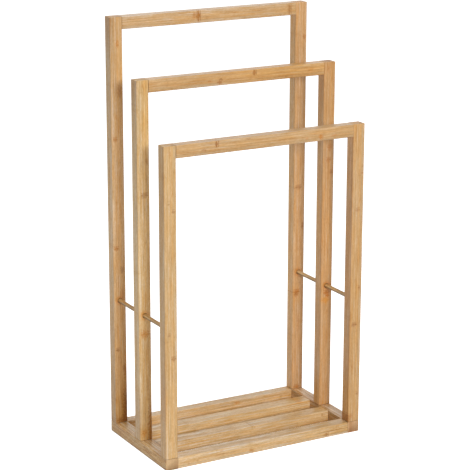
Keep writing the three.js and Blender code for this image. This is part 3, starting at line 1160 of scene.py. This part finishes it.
def make_screw(node, material):
    """A countersunk screw with a hex socket and a rolled thread."""
    low, high = low_high(node)
    centre = (low + high) / 2
    length = high.z - low.z
    core = SCREW_SHANK_RADIUS - SCREW_THREAD_DEPTH
    at = SCREW_PLAIN_SHARE * length
    profile = [
        (SCREW_HEAD_RADIUS - SCREW_HEAD_EASING, 0),
        (SCREW_HEAD_RADIUS, SCREW_HEAD_EASING),
        (SCREW_HEAD_RADIUS, SCREW_HEAD_RIM),
        (SCREW_SHANK_RADIUS, SCREW_CONE_END),
        (SCREW_SHANK_RADIUS, at),
    ]
    thread_end = length - SCREW_POINT
    root_start, root_end = SCREW_THREAD_ROOT
    while at + SCREW_THREAD_PITCH < thread_end:
        profile += [
            (core, at + root_start * SCREW_THREAD_PITCH),
            (core, at + root_end * SCREW_THREAD_PITCH),
            (SCREW_SHANK_RADIUS, at + SCREW_THREAD_PITCH),
        ]
        at += SCREW_THREAD_PITCH
    profile += [(core, thread_end), (SCREW_TIP_RADIUS, length)]
    start = Vector((centre.x, centre.y, low.z))
    mesh = turned_mesh(node, profile, start, (0, 0, 1), steps=SCREW_STEPS)
    piece = new_object(f"{node}_steel", mesh)
    hex_radius = HEX_FLATS / math.sqrt(3)
    socket_profile = [
        (hex_radius, -HEX_DEPTH),
        (hex_radius, HEX_DEPTH),
        (HEX_DRILL_SHARE * hex_radius, HEX_DRILL_DEPTH),
    ]
    socket_mesh = turned_mesh("cutter", socket_profile, start, (0, 0, 1), steps=HEX_SIDES)
    cut(piece, [new_object("cutter", socket_mesh)])
    finish_shading(piece)
    finish_piece(piece, node, material)


def make_dowel(node, material):
    """A fluted dowel with chamfered ends."""
    low, high = low_high(node)
    centre = (low + high) / 2
    length = high.x - low.x
    radius = (high.z - low.z) / 2
    profile = [
        (radius - DOWEL_CHAMFER, 0),
        (radius, DOWEL_CHAMFER),
        (radius, length - DOWEL_CHAMFER),
        (radius - DOWEL_CHAMFER, length),
    ]

    def fluted(reach, step):
        return reach - (DOWEL_FLUTE_DEPTH if step % DOWEL_FLUTE_STEPS == 0 else 0)

    start = Vector((low.x, centre.y, centre.z))
    steps = DOWEL_FLUTE_STEPS * DOWEL_FLUTES
    mesh = turned_mesh(node, profile, start, (1, 0, 0), steps=steps, radius_at=fluted)
    piece = new_object(f"{node}_beech", mesh)
    piece.data.set_sharp_from_angle(angle=SMOOTH_BELOW)
    finish_piece(piece, node, material)


def make_fasteners():
    steel = screw_steel()
    beech = dowel_wood()
    for node in sorted(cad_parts):
        if node.endswith("_foot_screw"):
            make_screw(node, steel)
        elif node.endswith("_dowel"):
            make_dowel(node, beech)


# ---- stage, light and camera ----


def make_floor():
    """A white floor: to the camera it is nearly white by itself, and it keeps a faint shadow."""
    mesh = bpy.data.meshes.new("floor")
    r = FLOOR_REACH
    mesh.from_pydata([(-r, -r, 0), (r, -r, 0), (r, r, 0), (-r, r, 0)], [], [(0, 1, 2, 3)])
    floor = new_object("floor", mesh)
    material = bpy.data.materials.new("white_floor")
    material.use_nodes = True
    nodes = Nodes(material.node_tree)
    diffuse = nodes.add("ShaderNodeBsdfDiffuse")
    diffuse.inputs["Color"].default_value = (FLOOR_WHITE, FLOOR_WHITE, FLOOR_WHITE, 1)
    rays = nodes.add("ShaderNodeLightPath").outputs
    seen = nodes.times(rays["Is Camera Ray"], FLOOR_SEEN)
    mirrored = nodes.largest(rays["Is Glossy Ray"], rays["Is Transmission Ray"])
    glow = nodes.add("ShaderNodeEmission")
    strength = nodes.plus(seen, nodes.times(mirrored, FLOOR_MIRRORED))
    nodes.put(glow.inputs["Strength"], strength)
    both = nodes.fill(nodes.add("ShaderNodeAddShader"), diffuse.outputs[0], glow.outputs[0])
    nodes.put(nodes.add("ShaderNodeOutputMaterial").inputs[0], both)
    mesh.materials.append(material)


def make_world():
    """White surroundings, of which the camera, gloss and glass see more than the object gets."""
    world = bpy.data.worlds.new("studio")
    bpy.context.scene.world = world
    world.use_nodes = True
    nodes = Nodes(world.node_tree)
    rays = nodes.add("ShaderNodeLightPath").outputs
    mirrored = nodes.largest(rays["Is Glossy Ray"], rays["Is Transmission Ray"])
    seen = nodes.largest(rays["Is Camera Ray"], nodes.times(mirrored, MIRRORED_WORLD))
    direction = nodes.vector("NORMALIZE", nodes.coordinate("Generated"))
    towards = nodes.vector("DOT_PRODUCT", direction, TO_BACK_LIGHT)
    behind = nodes.spread(towards, BACK_LIGHT_EDGE, 1.0, 0.0, BACK_LIGHT)
    given = nodes.plus(behind, WORLD_LIGHT)
    background = nodes.add("ShaderNodeBackground")
    background.inputs["Color"].default_value = (1, 1, 1, 1)
    strength = nodes.spread(seen, 0, 1, given, 1.0, kind="LINEAR")
    nodes.put(background.inputs["Strength"], strength)
    nodes.put(nodes.add("ShaderNodeOutputWorld").inputs[0], background.outputs[0])


def make_lamps():
    """Round soft lamps: one in front, low and a little to the left, and one overhead."""
    for name, (turn, rise, size, power) in LAMPS.items():
        turn, rise = math.radians(turn), math.radians(rise)
        level = math.cos(rise)
        towards = Vector((-math.sin(turn) * level, -math.cos(turn) * level, math.sin(rise)))
        data = bpy.data.lights.new(name, "AREA")
        data.shape = "DISK"
        data.size = size
        data.energy = power
        lamp = new_object(name, data)
        lamp.location = Vector(AIM) + towards * LAMP_DISTANCE
        lamp.rotation_euler = towards.to_track_quat("Z", "Y").to_euler()


def make_camera():
    data = bpy.data.cameras.new("camera")
    data.lens = LENS
    data.sensor_width = SENSOR
    camera = new_object("camera", data)
    turn = Matrix.Rotation(math.radians(-VIEW_TURN), 4, "Z")
    fall = Matrix.Rotation(math.radians(90 - VIEW_FALL), 4, "X")
    roll = Matrix.Rotation(math.radians(VIEW_ROLL), 4, "Z")
    facing = turn @ fall @ roll
    backwards = facing.to_3x3() @ Vector((0, 0, 1))
    place = Vector(AIM) + backwards * VIEW_DISTANCE
    camera.matrix_world = Matrix.Translation(place) @ facing
    bpy.context.scene.camera = camera


make_camera()
make_world()
make_lamps()
make_floor()
make_frames()
make_base()
make_rods()
make_fasteners()

bpy.context.scene.view_settings.view_transform = "Standard"
